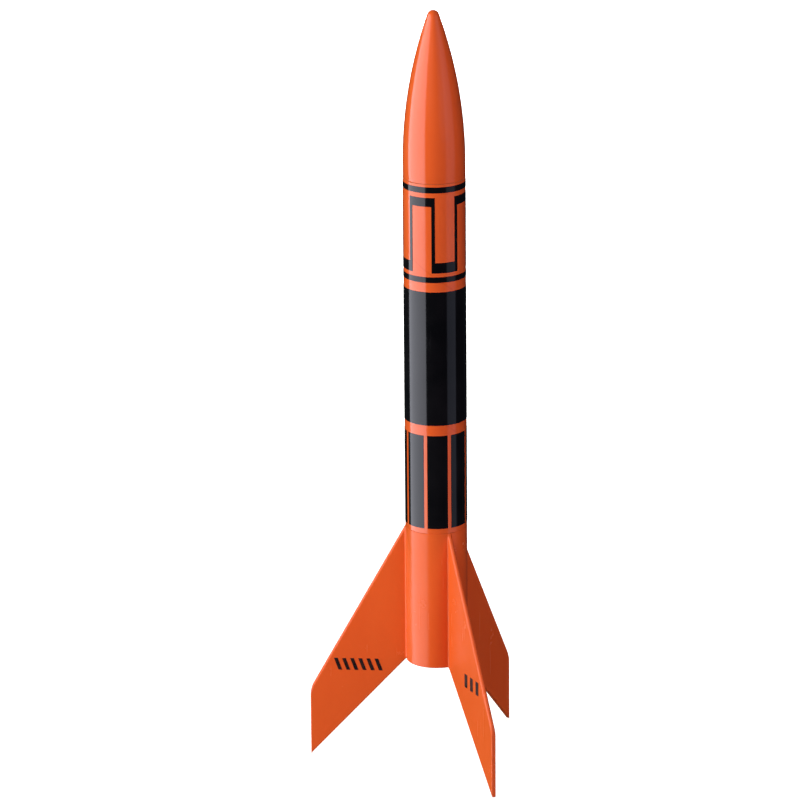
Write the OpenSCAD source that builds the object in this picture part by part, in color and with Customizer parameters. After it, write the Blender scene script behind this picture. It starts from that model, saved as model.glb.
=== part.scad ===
// Small flying model rocket: paper body tube, moulded nose cone and three-fin unit, and the
// motor mount and recovery gear inside. Millimetres, +Z towards the nose, and the origin on
// the rocket's axis at the aft rim of the motor tube.

/* [Airframe] */
// Outer diameter of the body tube, the nose cone and the fin unit
tube_od = 24.8; // [24.7:0.05:25.2]
// Inner diameter of the body tube
tube_id = 24.1; // [24.0:0.05:24.2]
// Length of body tube between the fin unit and the nose cone
tube_len = 144.5; // [140:0.5:160]

/* [Nose cone] */
// Length of the nose cone ahead of the body tube
nose_len = 67.3; // [65:0.1:69]
// Length of the straight base of the nose cone
nose_straight = 6.5; // [6:0.5:9]
// Radius of the arc that shapes the nose cone's side
nose_arc_r = 178; // [176:1:182]
// Wall of the nose cone
nose_wall = 1.3; // [1:0.1:1.5]
// Length of the shoulder that slips into the body tube
nose_shoulder = 19; // [16:0.5:20]

/* [Fin unit] */
// Length of the fin unit's sleeve
sleeve_len = 57; // [56:0.5:60]
// Wall of the sleeve
sleeve_wall = 1.2; // [1.2:0.05:1.3]
// Length of the sleeve's shoulder inside the body tube
sleeve_shoulder = 9; // [8:0.5:12]
// Thickness of a fin
fin_t = 1.8; // [1.4:0.1:2.4]
// Radius of the fin tips from the rocket's axis
fin_tip_r = 51.7; // [45:0.1:60]
// Height of the top of a fin's tip edge above the aft rim
fin_tip_top = -13.9; // [-18:0.1:-10]
// Height of the foot of a fin's tip edge above the aft rim
fin_tip_foot = -42.2; // [-50:0.1:-30]

/* [Motor mount] */
// Bore of the motor tube
motor_id = 18.04; // [18.0:0.02:18.1]
// Outer diameter of the motor tube
motor_od = 18.7; // [18.6:0.05:18.8]
// Length of the motor tube, from the aft rim to the thrust ring
motor_len = 64.1; // [63:0.1:65]
// Width of the motor hook's spring strip
hook_w = 3.2; // [2.5:0.1:3.5]
// Thickness of the motor hook's spring strip
hook_t = 0.5; // [0.4:0.05:0.6]
// How far the motor stands out of the aft rim
motor_stand_out = 5.8; // [5.5:0.1:6.9]

/* [Launch lug] */
// Bore of the launch lug
lug_id = 4; // [3.6:0.1:4.4]
// Outer diameter of the launch lug
lug_od = 4.6; // [4.6:0.1:5]
// Length of the launch lug
lug_len = 60; // [50:1:65]
// Height of the launch lug's aft end
lug_z = 75; // [70:1:80]

/* [Decals] */
// Thickness of the decal film
film = 0.1; // [0.06:0.01:0.15]
// Width of the meander's upright lines, in degrees round the tube
line_deg = 6.4; // [4:0.2:9]
// Width of the gaps in the striped band, in degrees round the tube
gap_deg = 6.8; // [4:0.2:9]

/* [Recovery gear] */
// Radius of the folded parachute
chute_r = 9.7; // [9:0.1:9.7]
// Length of the folded parachute
chute_len = 70; // [60:1:72]
// Width of the elastic shock cord
cord_w = 3.2; // [3:0.1:3.4]

/* [Hidden] */
$fn = 96;
eps = 0.01;

// Airframe
tube_r = tube_od / 2;
bore_r = tube_id / 2;
seam_aft = sleeve_len;
seam_fwd = sleeve_len + tube_len;
seam_gap = 0.08;

// Fins: one at the front and two behind, and the lug and the hook face the gap at +Y
fin_angles = [-90, 30, 150];
fin_root_in = 0.5;
fin_corner_r = 1.3;
fin_corner_z = 3.4;

// Nose cone: a circular arc tangent to the straight base, closed by a ball tip
nose_tan_z = seam_fwd + nose_straight;
nose_reach = nose_len - nose_straight;
nose_off = nose_arc_r - tube_r;
tip_r = (pow(nose_arc_r, 2) - pow(nose_off, 2) - pow(nose_reach, 2))
    / (2 * (nose_arc_r - nose_reach));
tip_z = sqrt(pow(nose_arc_r - tip_r, 2) - pow(nose_off, 2));
tip_tan_s = tip_z * nose_arc_r / (nose_arc_r - tip_r);
tip_tan_deg = asin(tip_z / (nose_arc_r - tip_r));
nose_fit = 0.08;
nose_shoulder_r = bore_r - nose_fit;
nose_cavity = 0.86;
nose_steps = 22;
tip_steps = 6;
plug_t = 1.5;
plug_skirt = 4;
plug_gap = 0.05;
eye_r = 2.9;
eye_wire = 0.9;
nose_base_z = seam_fwd - nose_shoulder;
eye_z = nose_base_z - plug_t - eye_r + 0.4;
eye_low = eye_z - eye_r - eye_wire;

// Fin unit
sleeve_r = tube_r - sleeve_wall;
shoulder_r = bore_r - 0.05;
relief_w = 5;
relief_h = 13;
relief_depth = 0.7;

// Motor mount
motor_r = motor_id / 2;
motor_out_r = motor_od / 2;
hook_gap = 0.05;
hook_y = motor_out_r + 0.02;
hook_split = 28;
tab_in = 1.65;
thrust_r = 7.6;
thrust_z = motor_len + hook_t + 2 * hook_gap;
thrust_h = 6;
ring_h = 6.35;
fwd_ring_z = motor_len - 3;
aft_ring_z = 14;
ring_gap = 0.02;
keeper_z = hook_split + 0.4;
keeper_h = 6;
keeper_t = 0.4;

// Launch lug
lug_y = tube_r + film + lug_od / 2 + 0.02;
glue_w = 2.4;

// Decals, measured aft from the nose cone's seam: [distance to the top edge, height]
fwd_ring = [1.1, 2.4];
meander = [5.4, 30.7];
aft_ring = [37.7, 2.3];
wide_band = [43.9, 55.1];
striped_band = [103.3, 38.9];
bar_top_h = 3.6;
bar_foot_h = 4.2;
lines = 8;
pitch_deg = 360 / lines;
meander_deg = -118;
striped_deg = -90;
mark_t = 0.08;
emblem_r = 32;
emblem_z = -3;
emblem_bars = 6;
emblem_pitch = 3.3;
tally_r = 33.5;
tally_z = -0.4;
tally_pitch = 5;

// Recovery gear, from the aft end up
chute_z = 78;
chute_top = chute_z + chute_len;
disc_r = 3;
disc_z = chute_z + 12;
shroud_lines = 6;
wrap_r = chute_r + 0.75;
wrap_z = 94;
wrap_h = 40;
line_r = 0.25;
mount_z = 118;
mount_h = 18;
mount_t = 1;
mount_deg = 50;
mount_angle = -90;
cord_t = 0.9;
coil_out_r = 9.6;
coil_in_r = 7;
coil_z = chute_top + 5;
coil_h = 19.4;

// Routes of the free stretches of cord, as points on their centre lines
tail_route = [
    [10.2, 0, wrap_z + wrap_h + 0.1],
    [10.1, 0, 137],
    [9.6, 0, 139.5],
    [8.6, 0, 142.6],
    [6.6, 0, 146],
    [4.2, 0, 149],
    [2.3, 0, 152.5],
    [1.2, 0, 157.5],
    [0.8, 0, 164],
    [0.7, 0, eye_low - 0.3]
];
lead_route = [
    [0, -11.2, mount_z + mount_h],
    [0, -11.2, 140],
    [0, -11.2, 144],
    [0, -11.1, 148],
    [0, -10.2, 151],
    [0, -9, coil_z - 0.4]
];
end_route = [
    [0, 6.3, 160],
    [0, 5.3, 161.7],
    [0, 4.1, 164.5],
    [0, 3.1, 168.5],
    [0, 2.7, eye_low - 0.1]
];

// Colours
shell_c = [0.93, 0.33, 0.12];
tube_c = [0.92, 0.31, 0.11];
film_c = [0.05, 0.05, 0.06];
kraft_c = [0.76, 0.62, 0.44];
card_c = [0.86, 0.83, 0.76];
steel_c = [0.62, 0.64, 0.66];
line_c = [0.96, 0.95, 0.9];
canopy_c = [0.95, 0.36, 0.12];
elastic_c = [0.93, 0.92, 0.88];

// Radius of the nose cone's side, a distance s ahead of the straight base
function nose_r(s) = sqrt(pow(nose_arc_r, 2) - pow(s, 2)) - nose_off;

// Rings of points swept along a route: the frame stays square to the rocket's X axis when
// the route lies in the YZ plane, and to its Y axis when it lies in the XZ plane
function route_dir(route, i) =
    let (a = route[max(i - 1, 0)], b = route[min(i + 1, len(route) - 1)])
    (b - a) / norm(b - a);
function sweep_points(route, half_w, half_t, side, sides) = [
    for (i = [0 : len(route) - 1])
        let (up = cross(side, route_dir(route, i)))
        for (k = [0 : sides - 1])
            let (a = 360 * (k + 0.5) / sides)
            route[i] + side * half_w * cos(a) + up * half_t * sin(a)
];
function sweep_faces(rings, sides) = concat(
    [[for (k = [0 : sides - 1]) k]],
    [
        for (i = [0 : rings - 2], k = [0 : sides - 1])
            let (n = (k + 1) % sides)
            [i * sides + k, (i + 1) * sides + k, (i + 1) * sides + n, i * sides + n]
    ],
    [[for (k = [sides - 1 : -1 : 0]) (rings - 1) * sides + k]]
);

// A cord: one solid swept along a route, half_w wide along side and half_t thick across it
module swept_cord(route, half_w, half_t, side) {
    sides = 8;
    polyhedron(
        points = sweep_points(route, half_w, half_t, side, sides),
        faces = sweep_faces(len(route), sides),
        convexity = 4
    );
}

// A plain ring from z, h tall
module ring(r_out, r_in, z, h) {
    translate([0, 0, z])
        difference() {
            cylinder(h = h, r = r_out);
            translate([0, 0, -1])
                cylinder(h = h + 2, r = r_in);
        }
}

// A block on the +Y side, from y0 to y1 and z0 to z1
module back_block(w, y0, y1, z0, z1) {
    translate([-w / 2, y0, z0])
        cube([w, y1 - y0, z1 - z0]);
}

// A band of film round the tube; band is [distance aft of the seam, height]
module film_band(band) {
    ring(tube_r + film, tube_r, seam_fwd - band[0] - band[1], band[1]);
}

// A window cut through a film band: a sector wide degrees across, centred at angle
module film_window(angle, wide, z, h) {
    rotate([0, 0, angle - wide / 2])
        rotate_extrude(angle = wide)
            translate([tube_r - 1, z])
                square([3, h]);
}

module nose_cone() {
    inner_end = nose_cavity * nose_reach;
    outer = concat(
        [
            [nose_shoulder_r, nose_base_z],
            [nose_shoulder_r, seam_fwd + seam_gap],
            [tube_r, seam_fwd + seam_gap]
        ],
        [
            for (i = [0 : nose_steps])
                let (s = tip_tan_s * i / nose_steps)
                [nose_r(s), nose_tan_z + s]
        ],
        [
            for (i = [1 : tip_steps])
                let (a = tip_tan_deg + (90 - tip_tan_deg) * i / tip_steps)
                [i == tip_steps ? 0 : tip_r * cos(a), nose_tan_z + tip_z + tip_r * sin(a)]
        ]
    );
    inner = concat(
        [[0, nose_tan_z + inner_end]],
        [
            for (i = [nose_steps : -1 : 0])
                let (s = inner_end * i / nose_steps)
                [nose_r(s) - nose_wall, nose_tan_z + s]
        ],
        [
            [tube_r - nose_wall, seam_fwd + nose_wall],
            [nose_shoulder_r - nose_wall, seam_fwd],
            [nose_shoulder_r - nose_wall, nose_base_z]
        ]
    );
    color(shell_c)
        rotate_extrude()
            polygon(concat(outer, inner));
}

module nose_base_plug() {
    skirt_r = nose_shoulder_r - nose_wall - plug_gap;
    color(shell_c)
        union() {
            translate([0, 0, nose_base_z - plug_t])
                cylinder(h = plug_t, r = nose_shoulder_r - 0.2);
            ring(skirt_r, skirt_r - 1, nose_base_z - eps, plug_skirt);
            translate([0, 0, eye_z])
                rotate([90, 0, 0])
                    rotate_extrude()
                        translate([eye_r, 0])
                            circle(r = eye_wire, $fn = 24);
        }
}

module body_tube() {
    color(tube_c)
        ring(tube_r, bore_r, seam_aft + seam_gap, tube_len - seam_gap);
}

module forward_ring_decal() {
    color(film_c)
        film_band(fwd_ring);
}

module meander_decal() {
    foot = seam_fwd - meander[0] - meander[1];
    color(film_c)
        difference() {
            film_band(meander);
            for (i = [0 : lines - 1]) {
                mid = meander_deg + (i + 0.5) * pitch_deg;
                odd = i % 2;
                z = foot + (odd == 0 ? bar_foot_h : -1);
                h = odd == 0 ? meander[1] : meander[1] - bar_top_h + 1;
                film_window(mid, pitch_deg - line_deg, z, h);
            }
        }
}

module aft_ring_decal() {
    color(film_c)
        film_band(aft_ring);
}

module wide_band_decal() {
    color(film_c)
        film_band(wide_band);
}

module striped_band_decal() {
    foot = seam_fwd - striped_band[0] - striped_band[1];
    color(film_c)
        difference() {
            film_band(striped_band);
            for (i = [0 : lines - 1])
                film_window(striped_deg + i * pitch_deg, gap_deg, foot - 1, striped_band[1] + 2);
        }
}

// One fin's outline, radius by height, with its corner eased where the two edges meet
module fin_outline() {
    run = (fin_tip_r - tube_r) / (sleeve_len - fin_tip_top);
    polygon([
        [tube_r - fin_root_in, 0],
        [tube_r - fin_root_in, sleeve_len],
        [tube_r, sleeve_len],
        [fin_tip_r - fin_corner_r, fin_tip_top + fin_corner_r / run],
        [fin_tip_r - 0.3, fin_tip_top - fin_corner_z * 0.3],
        [fin_tip_r, fin_tip_top - fin_corner_z],
        [fin_tip_r, fin_tip_foot],
        [tube_r, 0]
    ]);
}

module fin() {
    translate([0, fin_t / 2, 0])
        rotate([90, 0, 0])
            linear_extrude(height = fin_t)
                fin_outline();
}

module fin_unit() {
    color(shell_c)
        difference() {
            union() {
                cylinder(h = sleeve_len, r = tube_r);
                cylinder(h = sleeve_len + sleeve_shoulder, r = shoulder_r);
                for (a = fin_angles)
                    rotate([0, 0, a])
                        fin();
            }
            translate([0, 0, -1])
                cylinder(h = sleeve_len + sleeve_shoulder + 2, r = sleeve_r);
            back_block(relief_w, 0, sleeve_r + relief_depth, -1, relief_h);
        }
}

// Places a flat mark on a fin's face; side is 1 or -1 for the face that it lies on
module on_fin(angle, side, r, z) {
    y = side > 0 ? fin_t / 2 : -fin_t / 2 - mark_t;
    rotate([0, 0, angle])
        translate([r, y, z])
            children();
}

module fin_emblem_decal() {
    bar_w = 1.5;
    bar_h = 5;
    lean = 1.8;
    color(film_c)
        on_fin(fin_angles[2], 1, emblem_r, emblem_z)
            for (i = [0 : emblem_bars - 1]) {
                x = (i - (emblem_bars - 1) / 2) * emblem_pitch;
                translate([x, mark_t, 0])
                    rotate([90, 0, 0])
                        linear_extrude(height = mark_t)
                            polygon([
                                [-bar_w / 2 - lean / 2, -bar_h / 2],
                                [bar_w / 2 - lean / 2, -bar_h / 2],
                                [bar_w / 2 + lean / 2, bar_h / 2],
                                [-bar_w / 2 + lean / 2, bar_h / 2]
                            ]);
            }
}

module fin_tally_decal() {
    bar_w = 2.4;
    bar_h = 5.6;
    color(film_c)
        on_fin(fin_angles[0], -1, tally_r, tally_z)
            for (i = [-1 : 1])
                translate([i * tally_pitch - bar_w / 2, 0, -bar_h / 2])
                    cube([bar_w, mark_t, bar_h]);
}

// The lug and the bed of glue between it and the tube
module launch_lug() {
    color(tube_c)
        difference() {
            union() {
                translate([0, lug_y, lug_z])
                    cylinder(h = lug_len, r = lug_od / 2, $fn = 48);
                difference() {
                    back_block(glue_w, tube_r - 1, lug_y, lug_z + 1, lug_z + lug_len - 1);
                    translate([0, 0, lug_z])
                        cylinder(h = lug_len, r = tube_r + film + 0.02);
                }
            }
            translate([0, lug_y, lug_z - 1])
                cylinder(h = lug_len + 2, r = lug_id / 2, $fn = 48);
        }
}

module motor_tube() {
    color(kraft_c)
        ring(motor_out_r, motor_r, 0, motor_len);
}

module thrust_ring() {
    color(card_c)
        ring(motor_out_r, thrust_r, thrust_z, thrust_h);
}

module forward_centring_ring() {
    color(card_c)
        difference() {
            ring(sleeve_r - ring_gap, motor_out_r + ring_gap, fwd_ring_z, ring_h);
            back_block(
                hook_w + 4 * hook_gap, 0, hook_y + hook_t + hook_gap,
                fwd_ring_z - 1, motor_len + hook_t + 2 * hook_gap
            );
        }
}

module aft_centring_ring() {
    color(card_c)
        difference() {
            ring(sleeve_r - ring_gap, motor_out_r + ring_gap, aft_ring_z, ring_h);
            back_block(relief_w, 0, tube_r, aft_ring_z - 1, aft_ring_z + ring_h + 1);
        }
}

// Fixed front of the hook: its tab stops the motor, and the keeper ring holds its strip
module motor_hook() {
    color(steel_c)
        union() {
            back_block(hook_w, hook_y, hook_y + hook_t, hook_split, motor_len + hook_t + hook_gap);
            back_block(
                hook_w, motor_r - tab_in, hook_y + hook_t,
                motor_len + hook_gap, motor_len + hook_t + hook_gap
            );
        }
}

// Springing aft end of the hook, with the tab that holds the motor in
module hook_tongue() {
    tab_z = -motor_stand_out - hook_gap;
    color(steel_c)
        union() {
            back_block(hook_w, hook_y, hook_y + hook_t, tab_z - hook_t, hook_split - 0.1);
            back_block(hook_w, motor_r - tab_in, hook_y + hook_t, tab_z - hook_t, tab_z);
        }
}

// Band that holds the hook against the motor tube, raised where it crosses the strip
module hook_keeper_ring() {
    bump_y = hook_y + hook_t + hook_gap;
    color(film_c)
        difference() {
            union() {
                translate([0, 0, keeper_z])
                    cylinder(h = keeper_h, r = motor_out_r + ring_gap + keeper_t);
                back_block(
                    hook_w + 2 * keeper_t + 0.1, 0, bump_y + keeper_t,
                    keeper_z, keeper_z + keeper_h
                );
            }
            translate([0, 0, keeper_z - 1])
                cylinder(h = keeper_h + 2, r = motor_out_r + ring_gap);
            back_block(hook_w + 0.1, 0, bump_y, keeper_z - 1, keeper_z + keeper_h + 1);
        }
}

// Folded paper pad glued inside the tube, which holds the end of the shock cord
module shock_cord_mount() {
    outer_r = bore_r - 0.02;
    color(card_c)
        rotate([0, 0, mount_angle - mount_deg / 2])
            rotate_extrude(angle = mount_deg)
                translate([outer_r - mount_t, mount_z])
                    square([mount_t, mount_h]);
}

// Elastic from the mount up the tube wall to the coil
module shock_cord_lead() {
    color(elastic_c)
        swept_cord(lead_route, cord_w / 2, cord_t / 2, [1, 0, 0]);
}

module shock_cord_coil() {
    color(elastic_c)
        ring(coil_out_r, coil_in_r, coil_z, coil_h);
}

// Elastic from the coil to the nose cone's eye
module shock_cord_end() {
    color(elastic_c)
        swept_cord(end_route, cord_w / 2, cord_t / 2, [1, 0, 0]);
}

// Canopy, pleated and rolled: a soft cylinder with eased ends
module parachute() {
    color(canopy_c)
        rotate_extrude()
            polygon([
                [0, chute_z],
                [chute_r - 3.4, chute_z],
                [chute_r - 1.2, chute_z + 1.2],
                [chute_r - 0.2, chute_z + 4],
                [chute_r, chute_z + 8],
                [chute_r, chute_top - 14],
                [chute_r - 0.5, chute_top - 9],
                [chute_r - 1.8, chute_top - 5],
                [chute_r - 4.2, chute_top - 1.4],
                [chute_r - 6.4, chute_top],
                [0, chute_top]
            ]);
}

// Adhesive discs that hold the ends of the shroud lines to the canopy
module line_tape_discs() {
    color(card_c)
        for (k = [0 : shroud_lines - 1])
            rotate([0, 0, k * 360 / shroud_lines])
                intersection() {
                    ring(chute_r + film, chute_r, disc_z - disc_r - 1, 2 * disc_r + 2);
                    translate([0, 0, disc_z])
                        rotate([0, 90, 0])
                            cylinder(h = 2 * chute_r, r = disc_r, $fn = 32);
                }
}

// Six lines wound side by side round the folded canopy
module shroud_line_wrap() {
    color(line_c)
        ring(wrap_r, chute_r + 0.03, wrap_z, wrap_h);
}

// The ends of the six lines, over the canopy's shoulder and up to the nose cone's eye
module shroud_line_tails() {
    color(line_c)
        for (k = [0 : shroud_lines - 1])
            rotate([0, 0, k * 360 / shroud_lines])
                swept_cord(tail_route, line_r, line_r, [0, 1, 0]);
}

nose_cone();
nose_base_plug();
body_tube();
forward_ring_decal();
meander_decal();
aft_ring_decal();
wide_band_decal();
striped_band_decal();
fin_unit();
fin_emblem_decal();
fin_tally_decal();
launch_lug();
motor_tube();
thrust_ring();
forward_centring_ring();
aft_centring_ring();
motor_hook();
hook_tongue();
hook_keeper_ring();
shock_cord_mount();
shock_cord_lead();
shock_cord_coil();
shock_cord_end();
parachute();
line_tape_discs();
shroud_line_wrap();
shroud_line_tails();
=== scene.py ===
"""Looks of the model rocket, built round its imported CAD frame. Metres, +Z towards the nose."""

import math

import bmesh
import bpy
import numpy as np
from mathutils import Matrix, Vector, noise


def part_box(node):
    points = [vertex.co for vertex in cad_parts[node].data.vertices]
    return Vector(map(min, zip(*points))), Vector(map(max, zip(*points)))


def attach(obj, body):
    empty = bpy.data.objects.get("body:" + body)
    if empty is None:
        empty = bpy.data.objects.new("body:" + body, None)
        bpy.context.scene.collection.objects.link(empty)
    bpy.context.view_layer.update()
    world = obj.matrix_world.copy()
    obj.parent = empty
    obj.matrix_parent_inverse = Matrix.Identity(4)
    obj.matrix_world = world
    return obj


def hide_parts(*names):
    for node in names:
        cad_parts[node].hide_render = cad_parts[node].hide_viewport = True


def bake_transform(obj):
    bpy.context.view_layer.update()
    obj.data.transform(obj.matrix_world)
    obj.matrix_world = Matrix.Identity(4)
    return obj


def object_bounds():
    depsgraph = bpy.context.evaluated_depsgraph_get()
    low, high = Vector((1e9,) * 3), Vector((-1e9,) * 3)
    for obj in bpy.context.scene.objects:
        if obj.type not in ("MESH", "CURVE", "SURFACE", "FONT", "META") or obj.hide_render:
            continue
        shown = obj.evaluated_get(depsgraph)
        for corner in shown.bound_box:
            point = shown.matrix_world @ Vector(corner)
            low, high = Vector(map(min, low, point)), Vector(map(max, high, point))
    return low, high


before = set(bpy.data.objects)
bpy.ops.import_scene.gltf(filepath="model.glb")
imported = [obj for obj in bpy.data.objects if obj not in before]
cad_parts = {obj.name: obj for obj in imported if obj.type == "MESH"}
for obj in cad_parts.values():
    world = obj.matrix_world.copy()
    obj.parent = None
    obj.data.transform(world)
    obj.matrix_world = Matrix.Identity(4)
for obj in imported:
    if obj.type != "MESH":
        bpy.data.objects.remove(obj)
CAD_LOW, CAD_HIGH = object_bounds()

MM = 0.001
TAU = 2 * math.pi

# Sizes that the frame gives
TUBE_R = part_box("body_tube")[1].x
TUBE_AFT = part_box("body_tube")[0].z
TUBE_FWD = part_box("body_tube")[1].z
NOSE_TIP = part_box("nose_cone")[1].z
NOSE_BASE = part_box("nose_cone")[0].z
FIN_TIP_R = -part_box("fin_unit")[0].y
FIN_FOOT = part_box("fin_unit")[0].z
SHOULDER_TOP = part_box("fin_unit")[1].z
FILM_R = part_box("wide_band_decal")[1].x
HOOK_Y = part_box("hook_tongue")[1].y
HOOK_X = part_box("hook_tongue")[1].x
HOOK_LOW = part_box("hook_tongue")[0].z
HOOK_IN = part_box("hook_tongue")[0].y
HOOK_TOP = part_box("motor_hook")[1].z
CHUTE_LOW, CHUTE_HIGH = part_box("parachute")
PLUG_LOW, PLUG_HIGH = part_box("nose_base_plug")
MOUNT_LOW, MOUNT_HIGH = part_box("shock_cord_mount")
COIL_LOW, COIL_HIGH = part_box("shock_cord_coil")
WRAP_LOW, WRAP_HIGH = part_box("shroud_line_wrap")
DISC_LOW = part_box("line_tape_discs")[0]
LUG_LOW, LUG_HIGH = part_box("launch_lug")

# Sizes of the shapes inside those boxes, as the CAD source has them
WALL = 0.35 * MM
SEAM_GAP = 0.08 * MM
SLEEVE_LEN = TUBE_AFT - SEAM_GAP
SLEEVE_WALL = 1.2 * MM
NOSE_SEAM = TUBE_FWD + SEAM_GAP
NOSE_STRAIGHT = 6.5 * MM
NOSE_ARC = 178 * MM
NOSE_WALL = 1.3 * MM
FIN_ANGLES = (-90, 30, 150)
FIN_HALF = 0.9 * MM
FIN_TIP_TOP = -13.9 * MM
CORNER_IN = 1.3 * MM
CORNER_DOWN = 3.4 * MM
LUG_R = 2.3 * MM
LUG_BORE = 2.0 * MM
STRIP_T = 0.5 * MM
EYE_R = 2.9 * MM
EYE_WIRE = 0.9 * MM
EYE_Z = PLUG_LOW.z + EYE_R + EYE_WIRE

# Roundings that only the looks have
FIN_EDGE_R = 0.35 * MM
FIN_FILLET = 0.5 * MM

# The shock cord: flat elastic, wound in an outer and an inner coil inside the tube
CORD_W = 3.2 * MM
CORD_T = 0.9 * MM
CORD_LENGTH = 0.457
CORD_KNOT = Vector((-1.3 * MM, -0.6 * MM, PLUG_LOW.z - 3.1 * MM))
WALL_R = 11.2 * MM  # radius at which it lies on the tube's wall
OUTER_R = 9.1 * MM  # of its outer coil
INNER_R = 8.0 * MM  # of its inner coil
OUTER_TURN = 1530  # degrees that it winds in the outer coil
INNER_TURN = 1115.3  # and in the inner one
CORD_CLIMB = [  # its way up to the knot: x, y and height from the knot, in mm
    (-2.3, 7.6, -12.7), (-4.3, 6.4, -12.3), (-5.8, 4.7, -11.7), (-6.5, 2.7, -10.7), (-6.7, 1.0, -9.2),
    (-6.4, -0.3, -7.4), (-5.5, -1.1, -5.4), (-4.1, -1.2, -3.6), (-2.6, -1.0, -1.8),
]

# The shroud lines, wound round the canopy
LINES = 6
LINE_D = 0.5 * MM
LINE_LENGTH = 0.305
LINE_TURNS = 4
LINE_KNOT = Vector((1.3 * MM, 0.3 * MM, PLUG_LOW.z - 1.3 * MM))
LINE_CLIMB = [  # over the canopy's shoulder: radius in mm, degrees on, and mm above the winding
    (10.12, 12, 1.8), (9.9, 14, 4.0), (8.9, 14, 8.0), (6.9, 10, 11.8), (4.5, 4, 14.9), (2.4, 0, 18.5),
    (1.1, 0, 23.5),
]


# ---------------------------------------------------------------- camera

def make_camera():
    """The photographed view: from the front left, a little above, through a long lens."""
    view_azimuth = math.radians(-25.6)
    back, up = 2.0, 0.7309
    pitch, yaw, roll = math.radians(17.259), math.radians(-0.406), math.radians(-0.480)
    data = bpy.data.cameras.new("camera")
    data.lens = 236.2
    data.sensor_width = 36
    data.clip_start = 0.1
    data.clip_end = 50
    camera = bpy.data.objects.new("camera", data)
    bpy.context.scene.collection.objects.link(camera)
    flat = Vector((math.sin(yaw), math.cos(yaw), 0))
    side = Vector((math.cos(yaw), -math.sin(yaw), 0))
    ahead = math.cos(pitch) * flat - math.sin(pitch) * Vector((0, 0, 1))
    above = math.sin(pitch) * flat + math.cos(pitch) * Vector((0, 0, 1))
    right = math.cos(roll) * side + math.sin(roll) * above
    top = math.cos(roll) * above - math.sin(roll) * side
    axes = Matrix((right, top, -ahead)).transposed()
    turn = Matrix.Rotation(view_azimuth, 3, "Z")
    place = turn @ Vector((0, -back, up))
    camera.matrix_world = Matrix.Translation(place) @ (turn @ axes).to_4x4()
    bpy.context.scene.camera = camera


# ---------------------------------------------------------------- mesh helpers

def mesh_object(name, verts, faces, sharp_deg=40):
    """A smooth-shaded object with its origin at the frame's origin."""
    mesh = bpy.data.meshes.new(name)
    mesh.from_pydata([tuple(v) for v in verts], [], faces)
    mesh.validate()
    mesh.shade_smooth()
    mesh.set_sharp_from_angle(angle=math.radians(sharp_deg))
    obj = bpy.data.objects.new(name, mesh)
    bpy.context.scene.collection.objects.link(obj)
    return obj


def weighted(obj):
    """Keeps broad faces flat and lets their rounded edges carry the shading."""
    modifier = obj.modifiers.new("normals", "WEIGHTED_NORMAL")
    modifier.keep_sharp = True
    return obj


def joined(name, parts):
    """One object out of (verts, faces) parts."""
    verts, faces = [], []
    for part_verts, part_faces in parts:
        start = len(verts)
        verts += [tuple(v) for v in part_verts]
        faces += [[i + start for i in f] for f in part_faces]
    return mesh_object(name, verts, faces)


def merge(obj, distance):
    """Joins points that lie together, and turns every face outwards."""
    work = bmesh.new()
    work.from_mesh(obj.data)
    bmesh.ops.remove_doubles(work, verts=work.verts, dist=distance)
    bmesh.ops.recalc_face_normals(work, faces=work.faces)
    work.to_mesh(obj.data)
    work.free()
    obj.data.update()


def filleted(points, radii, steps=5):
    """A closed outline with its corners rounded to radii."""
    out = []
    count = len(points)
    for i, (point, radius) in enumerate(zip(points, radii)):
        here = Vector(point)
        if radius <= 0:
            out.append(tuple(here))
            continue
        to_last = (Vector(points[i - 1]) - here).normalized()
        to_next = (Vector(points[(i + 1) % count]) - here).normalized()
        half = to_last.angle(to_next) / 2
        reach = radius / math.tan(half)
        start, end = here + to_last * reach, here + to_next * reach
        centre = here + (to_last + to_next).normalized() * (radius / math.sin(half))
        for k in range(steps + 1):
            arm = (start - centre).slerp(end - centre, k / steps, start - centre)
            out.append(tuple(centre + arm.normalized() * radius))
    return out


def lathe(profile, segments=128):
    """(verts, faces) of a closed outline of (radius, height) points turned round the Z axis."""
    verts, rings, faces = [], [], []
    for r, z in profile:
        first = len(verts)
        if r < 1e-7:
            verts.append((0, 0, z))
            rings.append([first])
            continue
        rings.append(list(range(first, first + segments)))
        for k in range(segments):
            a = TAU * k / segments
            verts.append((r * math.cos(a), r * math.sin(a), z))
    for low, high in zip(rings, rings[1:] + rings[:1]):
        if len(low) == 1 and len(high) == 1:
            continue
        for k in range(segments):
            n = (k + 1) % segments
            loop = [low[k % len(low)], low[n % len(low)], high[n % len(high)], high[k % len(high)]]
            faces.append(list(dict.fromkeys(loop)))
    return verts, faces


def grid_faces(rows, columns, wrap=False):
    """Faces of a rows by columns grid of points, the last column joined to the first if wrap."""
    faces = []
    for i in range(rows - 1):
        for j in range(columns if wrap else columns - 1):
            n = (j + 1) % columns
            faces.append([i * columns + j, i * columns + n, (i + 1) * columns + n, (i + 1) * columns + j])
    return faces


def slab_faces(rows, columns):
    """Faces of a closed slab: two grids of rows by columns points, and the rim between them."""
    count, last = rows * columns, (rows - 1) * columns
    faces = grid_faces(rows, columns)
    faces += [[count + i for i in face[::-1]] for face in faces]
    rim = [*range(columns), *range(2 * columns - 1, last + columns, columns)]
    rim += [*range(last + columns - 2, last - 1, -1), *range(last - columns, 0, -columns)]
    faces += [[b, a, count + a, count + b] for a, b in zip([rim[-1], *rim], rim)]
    return faces


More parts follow.
